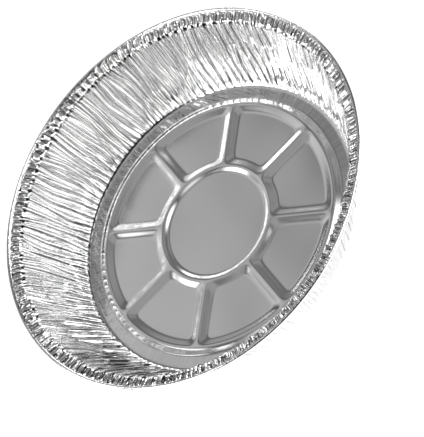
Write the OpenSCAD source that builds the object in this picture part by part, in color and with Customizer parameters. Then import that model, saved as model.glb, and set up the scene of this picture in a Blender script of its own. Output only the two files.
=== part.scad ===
// Round pie tin pressed from one disc of thin foil: a rolled rim, a crimped flange,
// a deep wrinkled wall and a flat floor embossed with two rings and eight spokes.
// The origin is the centre of the underside and +Z points up out of the open mouth.

/* [Rim] */
// diameter over the rolled rim
rim_d = 232; // [224:1:240]
// height from the underside of the floor to the top of the rolled rim
tin_h = 49; // [44:0.5:54]
// radius of the rolled rim's section
bead_r = 1.2; // [1.1:0.05:1.3]
// width of the crimped flange, from the mouth of the wall to the rolled rim
flange_w = 5.8; // [5:0.1:6.6]
// how far the flange falls from the rolled rim to the mouth of the wall
flange_drop = 2.1; // [1.6:0.1:2.6]
// height of a crimp on the flange, from crest to valley
crimp_depth = 0.7; // [0.4:0.05:0.8]

/* [Wall] */
// diameter of the floor at the foot of the wall
floor_d = 180; // [174:1:186]
// depth of a wrinkle in the wall, from crest to valley
wrinkle_depth = 1.3; // [0.8:0.1:1.6]
// how far a wrinkle leans sideways on its way up the wall, in degrees round the tin
wrinkle_lean = 1.3; // [0.6:0.1:1.5]
// how far the rounded bend at the foot of the wall reaches to each side
foot_bend = 2.4; // [1.6:0.1:2.4]
// height of the plain foot below the wrinkles
toe_h = 2.6; // [2.4:0.1:3.2]

/* [Floor] */
// width of the plain gutter between the wall and the outer ring
gutter_w = 9; // [7.5:0.1:10]
// height of the floor panels above the gutter
panel_lift = 0.4; // [0.2:0.05:0.6]
// height of the embossed rings and spokes above the gutter
rib_h = 2; // [1.6:0.05:2.4]
// width of the outer ring at its foot
ring_w = 9.5; // [8.5:0.1:10.5]
// width of the outer ring across its flat crest
ring_crest = 1.6; // [1.2:0.1:2.4]
// radius of the flat disc inside the inner ring
hub_r = 32.5; // [30:0.5:34]
// width of the inner ring at its foot
hub_ring_w = 8.5; // [7.6:0.1:9.5]
// width of the inner ring across its flat crest
hub_crest = 2.4; // [1.8:0.1:3]
// number of spokes
spokes = 8; // [6:1:8]
// width of a spoke at its foot
spoke_w = 9.6; // [8.6:0.1:10.2]
// width of a spoke across its crest
spoke_crest = 1; // [0.8:0.1:1.8]
// how much wider a spoke flares on each side where it meets a ring
spoke_flare = 2.4; // [1.5:0.1:3]
// length of the flare along the spoke
flare_len = 4.5; // [4:0.1:5.5]

/* [Foil] */
// thickness of the foil
foil_t = 0.3; // [0.25:0.01:0.4]

/* [Hidden] */
rim_r = rim_d / 2;
floor_r = floor_d / 2;
// columns in a floor sector: two feet and two crest edges of a spoke, then the panel
SPOKE_COLS = 4;
PANEL_COLS = 6;
SECTOR_COLS = SPOKE_COLS + PANEL_COLS;
FLOOR_N = spokes * SECTOR_COLS;
WALL_N = FLOOR_N * 3;
BEAD_N = WALL_N / 2;
SECTOR = 360 / spokes;
COL_STEP = SECTOR / SECTOR_COLS;
START = -(SPOKE_COLS - 1) / 2 * COL_STEP;

// heights of the upper face of the foil
gutter_z = foil_t;
panel_z = gutter_z + panel_lift;
crest_z = gutter_z + rib_h;

// radii of the embossed rings, from the wall inwards
ring_out = floor_r - gutter_w;
ring_in = ring_out - ring_w;
ring_slope = (ring_w - ring_crest) / 2;
hub_out = hub_r + hub_ring_w;
hub_slope = (hub_ring_w - hub_crest) / 2;

// section of the rolled rim, and of the flange that leads up to it
bead_c = [rim_r - bead_r, tin_h - bead_r];
BEAD_TURNS = [180, 130, 80, 30, -30, -95];
flange_top = [bead_c.x - bead_r - foil_t, bead_c.y - bead_r / 2];
mouth = flange_top - [flange_w, flange_drop];
foot = [floor_r, gutter_z];

// unit vectors along the wall and the flange, and the faces they turn to
function unit(v) = v / norm(v);
function turned(v) = [-v.y, v.x];
// direction in which two sheets meeting at a corner are both one unit thick
function mitre(a, b) = (a + b) / (1 + a * b);
up = [0, 1];
wall_dir = unit(mouth - foot);
wall_face = turned(wall_dir);
flange_face = turned(unit(flange_top - mouth));
mouth_mitre = mitre(wall_face, flange_face);
top_mitre = mitre(flange_face, [-1, 0]);

// uneven but repeatable values between -1 and 1: jumps from one to the next, and smooth swings
JUMP = 137.508;
SCATTER = 437.58;
function shuffle(j, k) = let (x = SCATTER * sin(JUMP * j + 61 * k)) 2 * (x - floor(x)) - 1;
function sway(a, k) = (sin(8 * a + 50 * k) + sin(19 * a + 110 * k) + sin(31 * a - 70 * k)) / 3;
function side(j) = j % 2 == 0 ? 1 : -1;

function polar(r, a, z) = [r * cos(a), r * sin(a), z];
function bend(i, n) = START + 360 * i / n;

// angle of column c of a sector, following a spoke of half widths f and t at radius r;
// e turns the spoke pattern (0) into even steps (1)
function spoke_angle(c, r, f, t) =
    c == 0 ? -asin(f / r) :
    c == 1 ? -asin(t / r) :
    c == 2 ? asin(t / r) :
    asin(f / r) + (c - 3) / (PANEL_COLS + 1) * (SECTOR - 2 * asin(f / r));
function sector_angle(c, r, f, t, e) = (1 - e) * spoke_angle(c, r, f, t) + e * (START + COL_STEP * c);
function on_crest(c) = c == 1 || c == 2;

// a ring of floor points: radius, panel height, spoke height, half widths, evenness
FOOT_HALF = spoke_w / 2;
CREST_HALF = spoke_crest / 2;
FLARE_HALF = FOOT_HALF + spoke_flare;
FLOOR_RINGS = [
    [hub_r, panel_z, panel_z, FOOT_HALF, CREST_HALF, 0.6],
    [hub_r + hub_slope, crest_z, crest_z, FLARE_HALF, CREST_HALF, 0.4],
    [hub_out - hub_slope, crest_z, crest_z, FLARE_HALF, CREST_HALF, 0],
    [hub_out, panel_z, crest_z, FLARE_HALF, CREST_HALF, 0],
    [hub_out + flare_len, panel_z, crest_z, FOOT_HALF, CREST_HALF, 0],
    [ring_in - flare_len, panel_z, crest_z, FOOT_HALF, CREST_HALF, 0],
    [ring_in, panel_z, crest_z, FLARE_HALF, CREST_HALF, 0],
    [ring_in + ring_slope, crest_z, crest_z, FLARE_HALF, CREST_HALF, 0.4],
    [ring_out - ring_slope, crest_z, crest_z, FLARE_HALF, CREST_HALF, 0.7],
    [ring_out, gutter_z, gutter_z, FLARE_HALF, CREST_HALF, 1]
];
function floor_ring(v, drop) = [
    for (s = [0 : spokes - 1], c = [0 : SECTOR_COLS - 1])
        polar(v[0], SECTOR * s + sector_angle(c, v[0], v[3], v[4], v[5]),
            (on_crest(c) ? v[2] : v[1]) - drop)
];

// a ring of even points at section point p, moved back by drop along face m
function plain_ring(p, m, n, drop) = [
    for (i = [0 : n - 1]) polar(p.x - m.x * drop, bend(i, n), p.y - m.y * drop)
];

// a ring of pleated points: crests and valleys take turns, moved along face f by up to d / 2;
// k picks the heights of the pleats and g their places round the tin
PLEAT_SHARE = 0.5;
PLEAT_WANDER = 0.2;
function pleat(j, k) = PLEAT_SHARE * side(j) + (1 - PLEAT_SHARE) * shuffle(j, k);
function pleat_angle(j, g) =
    let (a = bend(j, WALL_N))
    a + wrinkle_lean * sway(a, g) + PLEAT_WANDER * 360 / WALL_N * shuffle(j, g + 5);
function pleated_ring(p, m, f, d, k, g, drop) = [
    for (j = [0 : WALL_N - 1])
        let (q = p - m * drop + f * d / 2 * pleat(j, k)) polar(q.x, pleat_angle(j, g), q.y)
];

// start and middle of the rounded bend at the foot of the wall
bend_start = foot - [foot_bend, 0];
bend_middle = foot + (wall_dir - [1, 0]) * foot_bend / 4;
// places of the pleated rings up the wall
TOE_SHARE = 0.7;
toe = foot + wall_dir * toe_h;
wall_low = foot + (mouth - foot) / 3;
wall_high = foot + (mouth - foot) * 2 / 3;
bead_face = [for (a = BEAD_TURNS) [cos(a), sin(a)]];

// every ring of the upper face (drop 0) or the lower face (drop foil_t), inside to outside
function rings(drop) = concat(
    [for (v = FLOOR_RINGS) floor_ring(v, drop)],
    [
        plain_ring(bend_start, up, FLOOR_N, drop),
        plain_ring(bend_middle, unit(up + wall_face), FLOOR_N, drop)
    ],
    [
        pleated_ring(toe, wall_face, wall_face, wrinkle_depth * TOE_SHARE, 0, 0, drop),
        pleated_ring(wall_low, wall_face, wall_face, wrinkle_depth, 1, 1, drop),
        pleated_ring(wall_high, wall_face, wall_face, wrinkle_depth, 2, 2, drop),
        pleated_ring(mouth, mouth_mitre, mouth_mitre, crimp_depth, 3, 3, drop),
        pleated_ring(flange_top, top_mitre, flange_face, crimp_depth, 4, 3, drop)
    ],
    [for (f = bead_face) plain_ring(bead_c + f * bead_r, f, BEAD_N, drop)]
);

// the cut across a quad is mirrored on one side of each spoke and of each wrinkle
function mirrored(i, n) =
    n == FLOOR_N ? i % SECTOR_COLS == 0 || i % SECTOR_COLS > SPOKE_COLS + 1 : i % 2 == 1;

// rings with the same count are joined by quads, others by fans from the coarser one
function quads(a, b, n) = [
    for (i = [0 : n - 1], t = [0, 1])
        let (j = (i + 1) % n)
        mirrored(i, n) ?
            (t == 0 ? [a + i, a + j, b + i] : [a + j, b + j, b + i]) :
            (t == 0 ? [a + i, a + j, b + j] : [a + i, b + j, b + i])
];
function widen(a, na, b, nb) = [
    for (m = nb / na, h = floor(nb / na / 2), i = [0 : na - 1], q = [0 : m])
        let (j = (i + 1) % na, f = m * i + q)
        q == m ? [a + i, a + j, b + m * i + h] :
        [a + (q < h ? i : j), b + (f + 1) % nb, b + f]
];
function narrow(a, na, b, nb) = [
    for (m = na / nb, h = floor(na / nb / 2), i = [0 : nb - 1], q = [0 : m])
        let (j = (i + 1) % nb, f = m * i + q)
        q == m ? [a + m * i + h, b + j, b + i] :
        [a + f, a + (f + 1) % na, b + (q < h ? i : j)]
];
function strip(a, na, b, nb) =
    na == nb ? quads(a, b, na) :
    na < nb ? widen(a, na, b, nb) : narrow(a, na, b, nb);
function flipped(faces) = [for (f = faces) [f[0], f[2], f[1]]];
function moved(faces, s) = [for (f = faces) [f[0] + s, f[1] + s, f[2] + s]];
function flat(lists) = [for (l = lists, p = l) p];
function starts(counts, i) = i == 0 ? 0 : starts(counts, i - 1) + counts[i - 1];

module tin() {
    upper = rings(0);
    lower = rings(foil_t);
    counts = [for (r = upper) len(r)];
    total = starts(counts, len(counts));
    last = len(counts) - 1;
    at = [for (i = [0 : last]) starts(counts, i)];
    hub_top = 2 * total;
    hub_low = hub_top + 1;
    sheet = flat([for (i = [0 : last - 1]) strip(at[i], counts[i], at[i + 1], counts[i + 1])]);
    hub = [for (i = [0 : FLOOR_N - 1]) [i, hub_top, (i + 1) % FLOOR_N]];
    hub_under = [for (i = [0 : FLOOR_N - 1]) [total + i, total + (i + 1) % FLOOR_N, hub_low]];
    edge = quads(at[last], total + at[last], BEAD_N);
    color([0.8, 0.81, 0.83])
        polyhedron(
            points = concat(flat(upper), flat(lower), [[0, 0, panel_z], [0, 0, panel_z - foil_t]]),
            faces = concat(sheet, hub, moved(flipped(sheet), total), hub_under, edge)
        );
}

tin();
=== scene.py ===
"""Foil pie tin on a white floor: one sheet of pressed foil stands for the CAD node."""

import math

import bpy
import numpy as np
from mathutils import Matrix, Vector


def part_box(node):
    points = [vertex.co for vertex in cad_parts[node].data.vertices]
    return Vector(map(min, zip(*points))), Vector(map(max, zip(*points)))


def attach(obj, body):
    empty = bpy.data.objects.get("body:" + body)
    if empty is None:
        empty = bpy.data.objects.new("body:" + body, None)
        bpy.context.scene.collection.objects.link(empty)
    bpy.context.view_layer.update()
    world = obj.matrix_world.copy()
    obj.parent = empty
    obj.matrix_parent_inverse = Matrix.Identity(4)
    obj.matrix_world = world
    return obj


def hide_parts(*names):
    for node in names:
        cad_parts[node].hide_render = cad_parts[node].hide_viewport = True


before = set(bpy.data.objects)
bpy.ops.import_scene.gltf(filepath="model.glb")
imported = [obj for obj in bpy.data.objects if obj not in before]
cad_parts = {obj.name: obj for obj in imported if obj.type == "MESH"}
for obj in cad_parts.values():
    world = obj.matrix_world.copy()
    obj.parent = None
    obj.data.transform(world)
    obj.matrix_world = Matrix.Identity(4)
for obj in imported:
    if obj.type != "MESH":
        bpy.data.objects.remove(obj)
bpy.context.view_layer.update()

# Sizes of the tin, in metres. The rim and the height come from the frame.
MM = 0.001
LOW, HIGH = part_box("tin")
RIM_R = (HIGH.x - LOW.x) / 2
TIN_H = HIGH.z - LOW.z
FOIL_T = 0.3 * MM
BEAD_R = 1.2 * MM
FLANGE_W = 5.8 * MM
FLANGE_DROP = 2.1 * MM
FLOOR_R = 90 * MM
GUTTER_W = 9 * MM
PANEL_LIFT = 0.4 * MM
RIB_H = 2 * MM
RING_W = 9.5 * MM
RING_CREST = 1.6 * MM
HUB_R = 32.5 * MM
HUB_RING_W = 8.5 * MM
HUB_CREST = 2.4 * MM
SPOKES = 8
SPOKE_W = 9.6 * MM
SPOKE_CREST = 1.0 * MM
CORNER_R = 5 * MM

# Folds of the foil: ridges run up the wall and go on as crimps in the flange. Their places and
# main heights are those of the CAD node; the pinched crest on each is only here.
RIDGES = 240
RIDGE_STEP = 360 / RIDGES
WRINKLE_DEPTH = 1.3 * MM
CRIMP_DEPTH = 0.7 * MM
TOE_SHARE = 0.7
TOE_H = 2.6 * MM
LEAN = 1.3
SWAY_TURNS = (8, 50), (19, 110), (31, -70)
PLEAT_SHARE = 0.5
PLEAT_WANDER = 0.2
JUMP = 137.508
SCATTER = 437.58
DRAW_STEP = 61
ANGLE_DRAW = 5
PINCH_DEPTH = 0.75 * MM
LESSER_PINCH = 0.6
DYING_SHARE = 0.7
DYING_LENGTH = 0.3
CRIMP_PINCH = 0.65 * MM
CRIMP_WIDEN = 0.14
CRIMP_FADE = 0.3
# How much the crimps' height darkens their feet with painted shade, and the cap on it.
CRIMP_CREASE = 5
CRIMP_DEEPEST = 1.6
SUNK_SHARE = 0.5
GROOVE_SHARE = 0.9
BLOCK_DEPTH = 0.3 * MM
PUCKER_DEPTH = 0.8 * MM
SETTLE = 0.2 * MM
WIDEN = 0.28
WANDER = 0.15
MOUTH_R = 0.8 * MM
FOOT_R = 2.4 * MM

# Columns round one ridge, as shares of the way to its neighbours: its two shoulders, its foot,
# and the foot of the next one.
SHARES = (-0.13, 0.13, 0.3, 0.7)
WALL_COLS = RIDGES * len(SHARES)
FLOOR_COLS = RIDGES * 2
BEAD_COLS = RIDGES
UNDER_COLS = RIDGES

# Share of the floor's columns that lie across a spoke.
SPOKE_COLS = 5 / 16

# Rows from the centre of the floor to the rolled rim. The floor's are close together on the
# embossed slopes.
HUB_START = 4 * MM
HUB_STEP = 4.25 * MM
FINE = 0.9 * MM
COARSE = 3.4 * MM
FOOT_ROWS = 6
WALL_ROWS = 19
WALL_NEAR = 0.08
WALL_START = 0.12
WALL_END_GAP = 0.02
FOLDS_START = 0.4
MOUTH_ROWS = 4
FLANGE_ROWS = 4
FLANGE_START = 0.08
BEAD_START = 180
BEAD_END = -110
BEAD_ROWS = 13
SEED = 7

# Look of the foil. Painted shade darkens the creases at the ridges' feet. A line of painted shade
# along the far side of the wall's foot starts, is full, fades and ends at CREASE_TURN, in degrees,
# and lies at CREASE_PLACE in the foot's bend. Painted shade in the pits at the mouth starts, and is
# full, at two shares of their depth. Specks of painted shade lie at random on the flange.
FOIL_BRIGHT = 0.92
PAINTED_SHADE = 0.03
CREASE_SHARPNESS = 1.6
CREASE_TURN = (45, 80, 125, 200)
CREASE_PLACE = 0.58
CREASE_WIDTH = 0.11
PIT_SHADE = (0.2, 0.6)
# Random specks of painted shade on the flange: noise scale, level below which they start, how fast
# they darken.
DENT_SCALE = 800
DENT_BELOW = 0.33
DENT_SLOPE = 12.0

# Roughness: satin on the floor, with a fine grain, and less by the polish from the gutter outwards.
FLOOR_BLUR = 0.14
GRAIN_BLUR = 0.05
POLISH = 0.13
GRAIN_SCALE = 700

# Relief too fine for the mesh, with its heights in millimetres.
CREASE_SCALE = 75
CREASE_STRETCH = 0.045
FLANGE_STRETCH = 0.25
BEAD_PLACE = 1.3
CREASE_LIMIT = 0.06
CREASE_RELIEF = 0.35
CRUMPLE_SCALE = 700
CRUMPLE_RELIEF = 0.25
SWELL_SCALE = 22
SWELL_RELIEF = 1.0

# Floor, and the studio's light as soft patches: azimuth, elevation, inner and outer half angle,
# all in degrees, and level.
FLOOR_SIZE = 6.0
FLOOR_GAP = 0.2 * MM
FLOOR_WHITE = (0.9, 0.9, 0.9, 1)
FLOOR_ROUGHNESS = 0.9
FLOOR_GLOW = 0.47
WORLD_BASE = 0.04
WORLD_PATCHES = [
    (-160, 40, 5, 17, 7.2),
    (-15, 21, 4, 13, 6.2),
    (-40, 40, 5, 17, 4.5),
    (60, 15, 4, 14, 4.2),
    (-165, 21, 4, 13, 3.3),
    (165, 21, 4, 13, 3.1),
    (0, 5, 3, 12, 2.6),
    (160, 40, 5, 17, 2.2),
    (-20, 62, 6, 18, 2.0),
    (-145, 12, 4, 14, 2.0),
    (-60, 5, 4, 13, 0.9),
    (-120, 65, 5, 19, 0.85),
    (114, 44, 2, 24, 0.42),
    (75, 10, 5, 30, 0.3),
    (135, 25, 6, 22, 0.3),
    (130, 77, 8, 24, 0.27),
    (45, 62, 6, 20, 0.15),
    (55, 42, 8, 28, 0.1),
]

# Camera: what it aims at, from where, how far it is rolled, and its lens.
AIM = Vector((0.0032, -0.0151, 0.0245))
CAMERA_AZIMUTH = -80.3
CAMERA_ELEVATION = 50.0
CAMERA_DISTANCE = 0.842
CAMERA_ROLL = -52.9
SENSOR = 36.0
FOCAL_PIXELS = 1500.0
FRAME_WIDTH = 424.0


def smooth(x):
    """0 below 0 and 1 above 1, with an even turn between."""
    x = np.clip(x, 0.0, 1.0)
    return x * x * (3 - 2 * x)


def ramp(x):
    """0 below 0 and 1 above 1, with a straight slope between."""
    return np.clip(x, 0.0, 1.0)


def soft_min(a, b, width):
    """The lesser of a and b, rounded over width where they cross."""
    h = np.clip(0.5 + 0.5 * (b - a) / width, 0.0, 1.0)
    return b * (1 - h) + a * h - width * h * (1 - h)


class Kinks:
    """A value for each ridge that changes in straight stretches up the wall."""

    def __init__(self, seed, stretches, low, high):
        random = np.random.default_rng(seed)
        inner = np.arange(1, stretches) + random.uniform(-0.4, 0.4, (RIDGES, stretches - 1))
        ends = np.zeros((RIDGES, 1)), np.ones((RIDGES, 1))
        self.heights = np.concatenate([ends[0], inner / stretches, ends[1]], 1)
        self.values = random.uniform(low, high, (RIDGES, stretches + 1))

    def at(self, height):
        return np.array([np.interp(height, h, v) for h, v in zip(self.heights, self.values)])


def unit(v):
    return v / np.linalg.norm(v)


def turned(v):
    return np.array([-v[1], v[0]])


def mitre(a, b):
    return (a + b) / (1 + a @ b)


# Section of the tin, as radius and height of the upper face.
GUTTER_Z = FOIL_T
PANEL_Z = GUTTER_Z + PANEL_LIFT
CREST_Z = GUTTER_Z + RIB_H
RING_OUT = FLOOR_R - GUTTER_W
RING_IN = RING_OUT - RING_W
RING_MID = RING_IN + RING_W / 2
RING_SLOPE = (RING_W - RING_CREST) / 2
HUB_OUT = HUB_R + HUB_RING_W
HUB_MID = HUB_R + HUB_RING_W / 2
HUB_SLOPE = (HUB_RING_W - HUB_CREST) / 2
SPOKE_SLOPE = (SPOKE_W - SPOKE_CREST) / 2
FLOOR_END = FLOOR_R - FOOT_R - MM / 2
BEAD_C = np.array([RIM_R - BEAD_R, TIN_H - BEAD_R])
FLANGE_TOP = np.array([BEAD_C[0] - BEAD_R - FOIL_T, BEAD_C[1] - BEAD_R / 2])
MOUTH = FLANGE_TOP - np.array([FLANGE_W, FLANGE_DROP])
FOOT = np.array([FLOOR_R, GUTTER_Z])
OUT_WAY = np.array([1.0, 0.0])
WALL_WAY = unit(MOUTH - FOOT)
FLANGE_WAY = unit(FLANGE_TOP - MOUTH)
FLOOR_FACE = turned(OUT_WAY)
WALL_FACE = turned(WALL_WAY)
FLANGE_FACE = turned(FLANGE_WAY)
WALL_L = np.linalg.norm(MOUTH - FOOT)
WALL_LOW = FOOT_R / WALL_L
WALL_HIGH = 1 - MOUTH_R / WALL_L
TOE_AT = TOE_H / WALL_L


def floor_height(r, a):
    """Height of the floor's upper face at radius r and angle a."""
    sector = 2 * math.pi / SPOKES
    off = (a + sector / 2) % sector - sector / 2
    side = r * np.abs(np.sin(off)) - SPOKE_W / 2
    inside = soft_min(RING_IN - r, r - HUB_OUT, CORNER_R)
    inside = soft_min(inside, side, CORNER_R)
    panel = CREST_Z - (CREST_Z - PANEL_Z) * ramp((inside + SPOKE_SLOPE) / SPOKE_SLOPE)
    outer = CREST_Z - (CREST_Z - GUTTER_Z) * ramp((r - RING_OUT + RING_SLOPE) / RING_SLOPE)
    hub = CREST_Z - (CREST_Z - PANEL_Z) * ramp((HUB_R + HUB_SLOPE - r) / HUB_SLOPE)
    return np.where(r > RING_MID, outer, np.where(r < HUB_MID, hub, panel))


def floor_angles(r, cols):
    """Angles of a ring's columns, which follow the spokes where there are any."""
    sector = 2 * math.pi / SPOKES
    each = cols // SPOKES
    band = (SPOKE_W / 2 + CORNER_R) / max(r, HUB_R)
    near = int(each * SPOKE_COLS)
    c = np.arange(each)
    across = (c - near / 2) / (near / 2) * band
    rest = band + (c - near) / (each - near) * (sector - 2 * band)
    follow = np.where(c < near, across, rest)
    even = (c - near / 2) * sector / each
    blend = smooth((r - RING_IN - RING_W / 2) / (FLOOR_R - RING_IN - RING_W / 2))
    return np.concatenate([k * sector + follow * (1 - blend) + even * blend for k in range(SPOKES)])


START = -int(FLOOR_COLS // SPOKES * SPOKE_COLS) / 2 * 2 * math.pi / FLOOR_COLS


def even_angles(cols):
    return START + 2 * math.pi * np.arange(cols) / cols


RIDGE = np.arange(RIDGES)
RANDOM = np.random.default_rng(SEED)
WANDER_KINKS = Kinks(SEED + 1, 4, -WANDER, WANDER)
PINCH_KINKS = Kinks(SEED + 2, 3, 0.3, 1.0)
FLANGE_KINKS = Kinks(SEED + 3, 3, -1.0, 1.0)
TOES = RANDOM.uniform(0.05, 0.075, RIDGES)
CRIMPS = RANDOM.uniform(0.5, 1.0, RIDGES)
PUCKERS = RANDOM.uniform(0.0, 1.0, RIDGES)
# every other ridge is a lesser one: it lies in a valley, and most die out on their way down
LESSER = RIDGE % 2 == 1
DYING = LESSER & (RANDOM.uniform(0, 1, RIDGES) < DYING_SHARE)
ENDS = np.where(DYING, RANDOM.uniform(0.1, 0.9, RIDGES), -1.0)
PINCHES = np.where(LESSER, LESSER_PINCH, 1.0)
# half the lesser ones are grooves in the flange, and the rest are crimps
SUNK = LESSER & (RANDOM.uniform(0, 1, RIDGES) < SUNK_SHARE)


def shuffle(k):
    """An uneven but repeatable value from -1 to 1 for each ridge."""
    x = SCATTER * np.sin(np.radians(JUMP * RIDGE + DRAW_STEP * k))
    return 2 * (x - np.floor(x)) - 1


def sway(a, k):
    """Smooth swings round the tin at angles a, in degrees."""
    waves = [np.sin(np.radians(turns * a + phase * k)) for turns, phase in SWAY_TURNS]
    return sum(waves) / len(waves)


def pleat(k):
    """Heights of the pleats at place k up the wall, from about -1 to 1."""
    return PLEAT_SHARE * np.where(LESSER, -1.0, 1.0) + (1 - PLEAT_SHARE) * shuffle(k)


def pleat_angle(k):
    """Angles of the pleats at place k up the wall, in degrees."""
    a = math.degrees(START) + RIDGE_STEP * RIDGE
    return a + LEAN * sway(a, k) + PLEAT_WANDER * RIDGE_STEP * shuffle(k + ANGLE_DRAW)


def between(rows, heights, s):
    """The row of values at height s, from those at the given heights."""
    return np.array([np.interp(s, heights, values) for values in np.stack(rows, 1)])


# shares of the wall's height at which the pleats turn, and their rows there
PLEAT_AT = (TOE_AT, 1 / 3, 2 / 3, 1.0)
LEVELS = [
    WRINKLE_DEPTH / 2 * TOE_SHARE * pleat(0),
    WRINKLE_DEPTH / 2 * pleat(1),
    WRINKLE_DEPTH / 2 * pleat(2),
    CRIMP_DEPTH / 2 * pleat(3),
]
PLACES = [pleat_angle(k) for k in range(len(PLEAT_AT))]
CRIMP_ROWS = [CRIMP_DEPTH / 2 * pleat(3), CRIMP_DEPTH / 2 * pleat(4)]


def by_column(shoulders, right, left):
    """Values at each ridge's two shoulders, at its right foot and at the next one's left foot."""
    return np.stack([shoulders, shoulders, right, left], 1).ravel()


def spread(angles, widen=0.0):
    """Angles of all the columns from those of the ridges, the greater of which are widened."""
    ahead = np.roll(angles, -1) - angles
    ahead[-1] += 2 * math.pi
    behind = np.roll(ahead, 1)
    wide = np.where(LESSER, 0.0, widen)
    left, right, foot, next_foot = SHARES
    columns = [
        angles + (left - wide) * behind,
        angles + (right + wide) * ahead,
        angles + (foot + wide) * ahead,
        angles + (next_foot - np.roll(wide, -1)) * ahead,
    ]
    return np.stack(columns, 1).ravel()


def fold_angles(s, widen=0.0):
    """Angles of the wall's columns, which follow the ridges, at height s from 0 to 1."""
    places = between(PLACES, PLEAT_AT, s) + RIDGE_STEP * WANDER_KINKS.at(s)
    return spread(np.radians(places), WIDEN * (1 - s) + widen)


def wall_pinch(s):
    """Height of the pinched crest on each ridge at height s."""
    fade = smooth((s - ENDS) / DYING_LENGTH) * smooth(s / TOES)
    return PINCH_DEPTH * PINCHES * PINCH_KINKS.at(s) * fade


def wall_folds(s):
    """How far the wall stands in from its middle sheet at height s, column by column."""
    level = (between(LEVELS, PLEAT_AT, s) - SETTLE) * smooth(s / TOES)
    return by_column(level + wall_pinch(s), level, np.roll(level, -1))


def crimp_pinch(s):
    """Height of each ridge's crimp, or depth of its groove, at place s across the flange."""
    return CRIMP_PINCH * np.where(SUNK, -GROOVE_SHARE, 1.0) * CRIMPS * (1 - CRIMP_FADE * s)


def flange_folds(s):
    """Height of the flange's crimps from the mouth (0) to the rolled rim (1)."""
    level = between(CRIMP_ROWS, (0.0, 1.0), s) + BLOCK_DEPTH * FLANGE_KINKS.at(s)
    return by_column(level + crimp_pinch(s), level, np.roll(level, -1))


def feet(depth, deepest=1.0):
    """Painted shade marks of the ridges' feet: 1 off the crests, 1 at a left foot, and how deep each
    crease is.
    """
    ones = np.ones(RIDGES)
    depth = np.minimum(np.abs(depth) / PINCH_DEPTH, deepest)
    marks = by_column(0 * ones, ones, ones), by_column(0 * ones, 0 * ones, ones)
    return np.stack([*marks, by_column(depth, depth, np.roll(depth, -1))], 1)


def foot_shade_line(t):
    """Marks of a line of painted shade along the far side of the wall's foot, across its bend."""
    turn = np.degrees(fold_angles(0.0))
    start, full, fading, end = CREASE_TURN
    grown = smooth((turn - start) / (full - start))
    faded = smooth((turn - fading) / (end - fading))
    here = smooth(2 - abs(t - CREASE_PLACE) / CREASE_WIDTH)
    line = np.full(WALL_COLS, 1.0)
    return np.stack([line, 0 * line, grown * (1 - faded) * here], 1)


def pits():
    """Painted shade marks of the small pits at the mouth: as dark over their whole width as they are
    deep.
    """
    shallow, full = PIT_SHADE
    deep = smooth((PUCKERS - shallow) / (full - shallow))
    return np.stack([by_column(0 * deep, deep, deep), np.zeros(WALL_COLS), np.ones(WALL_COLS)], 1)


def puckers():
    """Small pits between the ridges at the mouth, where the wall turns into the flange."""
    pit = -PUCKER_DEPTH * PUCKERS
    return by_column(0 * pit, pit, pit)


def ring(r, a, z):
    return np.stack([r * np.cos(a), r * np.sin(a), z + 0 * a], 1)


def placed(points, a, height, marks=None):
    """Points with what the foil's material reads beside each: a seamless place, and painted shade
    marks.
    """
    round_place = ring(1.0, a, height * CREASE_STRETCH)
    marks = np.zeros_like(points) if marks is None else marks
    return np.concatenate([points, round_place, marks], 1)


def section_ring(point, face, back, a, rise, drop, height=0.0, marks=None):
    """A ring through a section point, raised by rise along face, set back by drop along back."""
    r = point[0] - back[0] * drop + face[0] * rise
    z = point[1] - back[1] * drop + face[1] * rise
    steady = a if len(a) != WALL_COLS else spread(even_angles(RIDGES))
    return placed(ring(r, a, z), steady, height, marks)


def floor_radii():
    """Radii of the floor's rings, close together on the embossed slopes."""
    edges = [
        (HUB_START, HUB_R - MM, HUB_STEP),
        (HUB_R - MM, HUB_OUT + 2 * MM, FINE),
        (HUB_OUT + 2 * MM, RING_IN - 3 * MM, COARSE),
        (RING_IN - 3 * MM, RING_OUT + MM, FINE),
        (RING_OUT + MM, FLOOR_END, COARSE),
    ]
    out = []
    for start, end, step in edges:
        count = max(1, round((end - start) / step))
        out.extend(np.linspace(start, end, count, endpoint=False))
    return out + [FLOOR_END]


def floor_rings(cols, every, drop):
    """The floor's rings with cols columns each, of which every so many are kept."""
    out = []
    for r in floor_radii()[::every]:
        a = floor_angles(r, cols)
        out.append(placed(ring(r, a, floor_height(r, a) - drop), a, 0.0))
    return out


def turn_at(corner, radius, way_in, way_out, face_in, face_out, t):
    """Point and face of a rounded corner of the section, from its start (0) to its end (1)."""
    point = corner - way_in * radius * (1 - t) ** 2 + way_out * radius * t ** 2
    return point, unit(face_in * (1 - t) + face_out * t)


def foot_rings(drop):
    """The rings of the bend at the wall's foot, over which the folds grow."""
    out = []
    for t in np.linspace(0.0, 1.0, FOOT_ROWS + 1)[:-1]:
        point, face = turn_at(FOOT, FOOT_R, OUT_WAY, WALL_WAY, FLOOR_FACE, WALL_FACE, t)
        folds = smooth((t - FOLDS_START) / (1 - FOLDS_START)) * wall_folds(WALL_LOW)
        marks = foot_shade_line(t)
        out.append(section_ring(point, face, face, fold_angles(0.0), folds, drop, 0.0, marks))
    return out


def wall_rings(drop):
    """The rings of the wall's straight part."""
    evenly = np.linspace(WALL_START, WALL_HIGH - WALL_END_GAP, WALL_ROWS - 2)
    out = []
    for s in [WALL_LOW, WALL_NEAR, *evenly]:
        point = FOOT + (MOUTH - FOOT) * s
        angles, folds, marks = fold_angles(s), wall_folds(s), feet(wall_pinch(s))
        out.append(section_ring(point, WALL_FACE, WALL_FACE, angles, folds, drop, s, marks))
    return out


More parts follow.
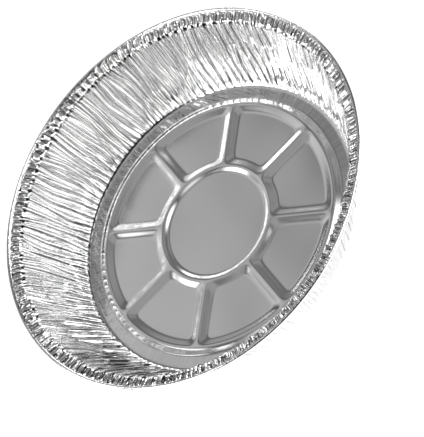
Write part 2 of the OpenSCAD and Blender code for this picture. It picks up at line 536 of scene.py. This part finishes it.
def mouth_rings(drop):
    """The rings of the bend at the mouth, where the wall's folds turn into the flange's."""
    a = fold_angles(1.0)
    out = []
    for t in np.linspace(0.0, 1.0, MOUTH_ROWS):
        point, face = turn_at(MOUTH, MOUTH_R, WALL_WAY, FLANGE_WAY, WALL_FACE, FLANGE_FACE, t)
        folds = wall_folds(1.0) * (1 - t) + flange_folds(0.0) * t + 4 * t * (1 - t) * puckers()
        out.append(section_ring(point, face, face, a, folds, drop, 1.0, pits()))
    return out


def flange_rings(drop):
    """The rings of the flange, the last of which meets the rolled rim."""
    a = fold_angles(1.0, CRIMP_WIDEN)
    out = []
    for s in np.linspace(MOUTH_R / FLANGE_W + FLANGE_START, 1.0, FLANGE_ROWS):
        point = MOUTH + (FLANGE_TOP - MOUTH) * s
        back = mitre(FLANGE_FACE, -OUT_WAY) if s == 1.0 else FLANGE_FACE
        height = 1 + s * FLANGE_STRETCH
        marks = feet(CRIMP_CREASE * crimp_pinch(s), CRIMP_DEEPEST)
        out.append(section_ring(point, FLANGE_FACE, back, a, flange_folds(s), drop, height, marks))
    return out


def bead_rings(drop):
    """The rings of the rolled rim."""
    a = even_angles(BEAD_COLS)
    out = []
    for turn in np.radians(np.linspace(BEAD_START, BEAD_END, BEAD_ROWS)):
        face = np.array([math.cos(turn), math.sin(turn)])
        out.append(section_ring(BEAD_C + face * BEAD_R, face, face, a, 0 * a, drop, BEAD_PLACE))
    return out


def sheet_rings(drop, floor_cols, every):
    """All rings of one face of the foil from the centre out, drop below the upper face."""
    floor = floor_rings(floor_cols, every, drop)
    bends = foot_rings(drop) + wall_rings(drop) + mouth_rings(drop)
    return floor + bends + flange_rings(drop) + bead_rings(drop)


def strip(a, a_count, b, b_count):
    """Faces between two rings that start at a and b; one count divides the other."""
    if a_count > b_count:
        return [tuple(reversed(face)) for face in strip(b, b_count, a, a_count)]
    ratio = b_count // a_count
    faces = []
    for i in range(a_count):
        j = (i + 1) % a_count
        if ratio == 1:
            faces.append((a + i, b + i, b + j, a + j))
            continue
        for k in range(ratio):
            near = i if k < ratio // 2 else j
            far = ratio * i + k
            faces.append((a + near, b + far, b + (far + 1) % b_count))
        faces.append((a + i, b + ratio * i + ratio // 2, a + j))
    return faces


def face_mesh(rings, start):
    """Vertices, faces and the last ring's start of one face of the foil, with a fan at its centre."""
    starts = start + np.cumsum([0] + [len(one) for one in rings])
    faces = []
    for k in range(len(rings) - 1):
        faces += strip(int(starts[k]), len(rings[k]), int(starts[k + 1]), len(rings[k + 1]))
    centre = int(starts[-1])
    count = len(rings[0])
    faces += [(centre, start + i, start + (i + 1) % count) for i in range(count)]
    middle = np.zeros((1, rings[0].shape[1]))
    middle[0, 2] = rings[0][:, 2].mean()
    return np.concatenate(rings + [middle]), faces, int(starts[-2])


def sharpen_ridge_feet(mesh, first, rows):
    """Makes the edges up the wall sharp where a ridge stands on the flat between two ridges."""
    corners = np.zeros(len(mesh.edges) * 2, int)
    mesh.edges.foreach_get("vertices", corners)
    low, high = np.sort(corners.reshape(-1, 2)).T
    inside = (low >= first) & (high < first + rows * WALL_COLS)
    foot = (low - first) % len(SHARES) >= 2
    sharp = inside & foot & (high - low == WALL_COLS)
    mesh.edges.foreach_set("use_edge_sharp", sharp)


def mark(mesh, name, values):
    """A value from 0 to 1 at each vertex, which the foil's material reads."""
    attribute = mesh.attributes.new(name, "FLOAT", "POINT")
    attribute.data.foreach_set("value", values.astype(np.float32))


def mark_places(mesh, points):
    """What the foil's material reads: crease places, painted shade marks, and where wall and flange
    are.
    """
    for name, columns in (("crease_place", points[:, 3:6]), ("feet", points[:, 6:9])):
        vectors = mesh.attributes.new(name, "FLOAT_VECTOR", "POINT")
        vectors.data.foreach_set("vector", columns.astype(np.float32).ravel())
    radii = np.hypot(points[:, 0], points[:, 1])
    mark(mesh, "wall", smooth((radii - RING_OUT) / MM))
    outside_mouth = smooth((radii - MOUTH[0]) / MM)
    on_bead = smooth((radii - BEAD_C[0]) / MM)
    mark(mesh, "flange", outside_mouth * (1 - on_bead))


def make_tin():
    """The foil as one closed sheet, with an upper and a lower face that meet at the rim's edge."""
    upper_rings = sheet_rings(0.0, FLOOR_COLS, 1)
    lower_rings = sheet_rings(FOIL_T, UNDER_COLS, 2)
    upper, upper_faces, upper_edge = face_mesh(upper_rings, 0)
    lower, lower_faces, lower_edge = face_mesh(lower_rings, len(upper))
    faces = upper_faces + [tuple(reversed(face)) for face in lower_faces]
    for i in range(BEAD_COLS):
        j = (i + 1) % BEAD_COLS
        faces.append((upper_edge + i, lower_edge + i, lower_edge + j, upper_edge + j))
    points = np.concatenate([upper, lower])
    mesh = bpy.data.meshes.new("foil_sheet")
    mesh.from_pydata(points[:, :3].tolist(), [], faces)
    mesh.polygons.foreach_set("use_smooth", [True] * len(mesh.polygons))
    for rings, start in ((upper_rings, 0), (lower_rings, len(upper))):
        pleated = [len(one) == WALL_COLS for one in rings]
        first = start + sum(len(one) for one in rings[:pleated.index(True)])
        sharpen_ridge_feet(mesh, first, sum(pleated))
    mark_places(mesh, points)
    mesh.update()
    tin = bpy.data.objects.new("tin_foil", mesh)
    bpy.context.collection.objects.link(tin)
    return tin


def arithmetic(nodes, links, operation, *values):
    """Output of a maths node with the given numbers and links as its inputs."""
    node = nodes.new("ShaderNodeMath")
    node.operation = operation
    for socket, value in zip(node.inputs, values):
        if isinstance(value, (int, float)):
            socket.default_value = value
        else:
            links.new(value, socket)
    return node.outputs["Value"]


def noise(nodes, links, vector, scale, detail):
    node = nodes.new("ShaderNodeTexNoise")
    node.inputs["Scale"].default_value = scale
    node.inputs["Detail"].default_value = detail
    links.new(vector, node.inputs["Vector"])
    return node.outputs["Fac"]


def attribute(nodes, name):
    node = nodes.new("ShaderNodeAttribute")
    node.attribute_name = name
    return node


def painted_crease_shade(nodes, links):
    """Painted shade, from 0 to 1, along the lines at the ridges' feet, along the wall's foot and in
    the pits.
    """
    parts = nodes.new("ShaderNodeSeparateXYZ")
    links.new(attribute(nodes, "feet").outputs["Vector"], parts.inputs["Vector"])
    # Y runs from 0 to 1 over the flat between two ridges, and is used to keep its middle bright
    side = arithmetic(nodes, links, "MULTIPLY_ADD", parts.outputs["Y"], 2.0, -1.0)
    side = arithmetic(nodes, links, "ABSOLUTE", side)
    line = arithmetic(nodes, links, "MULTIPLY", parts.outputs["X"], side)
    line = arithmetic(nodes, links, "POWER", line, CREASE_SHARPNESS)
    return arithmetic(nodes, links, "MULTIPLY", line, parts.outputs["Z"])


def painted_dent_shade(nodes, links, place, on_flange):
    """Painted shade, from 0 to 1, as of small dents, in random specks on the flange."""
    dents = noise(nodes, links, place, DENT_SCALE, 1)
    dents = arithmetic(nodes, links, "MULTIPLY_ADD", dents, -DENT_SLOPE, DENT_SLOPE * DENT_BELOW)
    dents = arithmetic(nodes, links, "MAXIMUM", dents, 0.0)
    dents = arithmetic(nodes, links, "MINIMUM", dents, 1.0)
    return arithmetic(nodes, links, "MULTIPLY", dents, on_flange)


def foil_colour(nodes, links, place, on_flange):
    """Bright foil, darkened by painted shade in its creases, along the wall's foot, in pits and in
    specks.
    """
    creases = painted_crease_shade(nodes, links)
    dents = painted_dent_shade(nodes, links, place, on_flange)
    depth = arithmetic(nodes, links, "MAXIMUM", creases, dents)
    depth = arithmetic(nodes, links, "MINIMUM", depth, 1.0)
    return arithmetic(nodes, links, "MULTIPLY_ADD", depth, PAINTED_SHADE - FOIL_BRIGHT, FOIL_BRIGHT)


def foil_roughness(nodes, links, place, on_wall):
    """Satin on the floor, and close to a mirror from the gutter outwards."""
    grain = noise(nodes, links, place, GRAIN_SCALE, 3)
    satin = arithmetic(nodes, links, "MULTIPLY_ADD", grain, GRAIN_BLUR, FLOOR_BLUR)
    return arithmetic(nodes, links, "MULTIPLY_ADD", on_wall, -POLISH, satin)


def wall_creases(nodes, links, on_wall):
    """Fine creases that run up the wall, in millimetres."""
    crease_at = attribute(nodes, "crease_place").outputs["Vector"]
    crease = noise(nodes, links, crease_at, CREASE_SCALE, 1)
    crease = arithmetic(nodes, links, "SUBTRACT", crease, 0.5)
    crease = arithmetic(nodes, links, "ABSOLUTE", crease)
    crease = arithmetic(nodes, links, "MINIMUM", crease, CREASE_LIMIT)
    depth = arithmetic(nodes, links, "MULTIPLY", on_wall, -CREASE_RELIEF)
    return arithmetic(nodes, links, "MULTIPLY", crease, depth)


def foil_relief(nodes, links, place, on_wall, on_flange):
    """Creases up the wall, a crumple on the flange and a faint swell everywhere, in millimetres."""
    creases = wall_creases(nodes, links, on_wall)
    crumple = noise(nodes, links, place, CRUMPLE_SCALE, 2)
    crumple_height = arithmetic(nodes, links, "MULTIPLY", on_flange, CRUMPLE_RELIEF)
    height = arithmetic(nodes, links, "MULTIPLY_ADD", crumple, crumple_height, creases)
    swell = noise(nodes, links, place, SWELL_SCALE, 0)
    return arithmetic(nodes, links, "MULTIPLY_ADD", swell, SWELL_RELIEF, height)


def foil_material():
    material = bpy.data.materials.new("foil")
    material.use_nodes = True
    nodes, links = material.node_tree.nodes, material.node_tree.links
    shader = nodes["Principled BSDF"]
    shader.inputs["Metallic"].default_value = 1.0
    place = nodes.new("ShaderNodeTexCoord").outputs["Object"]
    on_wall = attribute(nodes, "wall").outputs["Fac"]
    on_flange = attribute(nodes, "flange").outputs["Fac"]
    bump = nodes.new("ShaderNodeBump")
    bump.inputs["Strength"].default_value = 1.0
    bump.inputs["Distance"].default_value = MM
    relief = foil_relief(nodes, links, place, on_wall, on_flange)
    links.new(relief, bump.inputs["Height"])
    links.new(bump.outputs["Normal"], shader.inputs["Normal"])
    links.new(foil_colour(nodes, links, place, on_flange), shader.inputs["Base Color"])
    links.new(foil_roughness(nodes, links, place, on_wall), shader.inputs["Roughness"])
    return material


def floor_material():
    """A matt surface that the camera, and the foil's reflections, see as plain white."""
    material = bpy.data.materials.new("floor_white")
    material.use_nodes = True
    nodes, links = material.node_tree.nodes, material.node_tree.links
    shader = nodes["Principled BSDF"]
    shader.inputs["Base Color"].default_value = FLOOR_WHITE
    shader.inputs["Roughness"].default_value = FLOOR_ROUGHNESS
    shader.inputs["Emission Color"].default_value = (1, 1, 1, 1)
    path = nodes.new("ShaderNodeLightPath")
    seen = path.outputs["Is Camera Ray"]
    for ray in ("Is Glossy Ray", "Is Transmission Ray"):
        seen = arithmetic(nodes, links, "MAXIMUM", seen, path.outputs[ray])
    glow = arithmetic(nodes, links, "MULTIPLY", seen, FLOOR_GLOW)
    links.new(glow, shader.inputs["Emission Strength"])
    return material


def heading(azimuth, elevation):
    """Unit vector towards an azimuth from +X and an elevation, in degrees."""
    a, e = math.radians(azimuth), math.radians(elevation)
    return Vector((math.cos(a) * math.cos(e), math.sin(a) * math.cos(e), math.sin(e)))


def make_world():
    world = bpy.data.worlds.new("studio")
    bpy.context.scene.world = world
    world.use_nodes = True
    nodes, links = world.node_tree.nodes, world.node_tree.links
    background = nodes["Background"]
    background.inputs["Color"].default_value = (1, 1, 1, 1)
    place = nodes.new("ShaderNodeTexCoord")
    total = WORLD_BASE
    for azimuth, elevation, inner, outer, level in WORLD_PATCHES:
        dot = nodes.new("ShaderNodeVectorMath")
        dot.operation = "DOT_PRODUCT"
        dot.inputs[1].default_value = heading(azimuth, elevation)
        links.new(place.outputs["Generated"], dot.inputs[0])
        patch = nodes.new("ShaderNodeMapRange")
        patch.interpolation_type = "SMOOTHSTEP"
        patch.inputs["From Min"].default_value = math.cos(math.radians(outer))
        patch.inputs["From Max"].default_value = math.cos(math.radians(inner))
        patch.inputs["To Max"].default_value = level
        links.new(dot.outputs["Value"], patch.inputs["Value"])
        total = arithmetic(nodes, links, "ADD", patch.outputs["Result"], total)
    links.new(total, background.inputs["Strength"])


def make_camera():
    back = heading(CAMERA_AZIMUTH, CAMERA_ELEVATION)
    data = bpy.data.cameras.new("camera")
    data.sensor_fit = "HORIZONTAL"
    data.sensor_width = SENSOR
    data.lens = FOCAL_PIXELS / FRAME_WIDTH * SENSOR
    camera = bpy.data.objects.new("camera", data)
    level = back.to_track_quat("Z", "Y").to_matrix().to_4x4()
    roll = Matrix.Rotation(math.radians(CAMERA_ROLL), 4, "Z")
    camera.matrix_world = Matrix.Translation(AIM + back * CAMERA_DISTANCE) @ level @ roll
    bpy.context.collection.objects.link(camera)
    bpy.context.scene.camera = camera


def make_floor():
    bpy.ops.mesh.primitive_plane_add(size=FLOOR_SIZE, location=(0, 0, -FLOOR_GAP))
    floor = bpy.context.object
    floor.name = "floor"
    floor.data.materials.append(floor_material())


bpy.context.scene.view_settings.view_transform = "Standard"
tin = make_tin()
tin.data.materials.append(foil_material())
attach(tin, "root")
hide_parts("tin")
make_floor()
make_world()
make_camera()
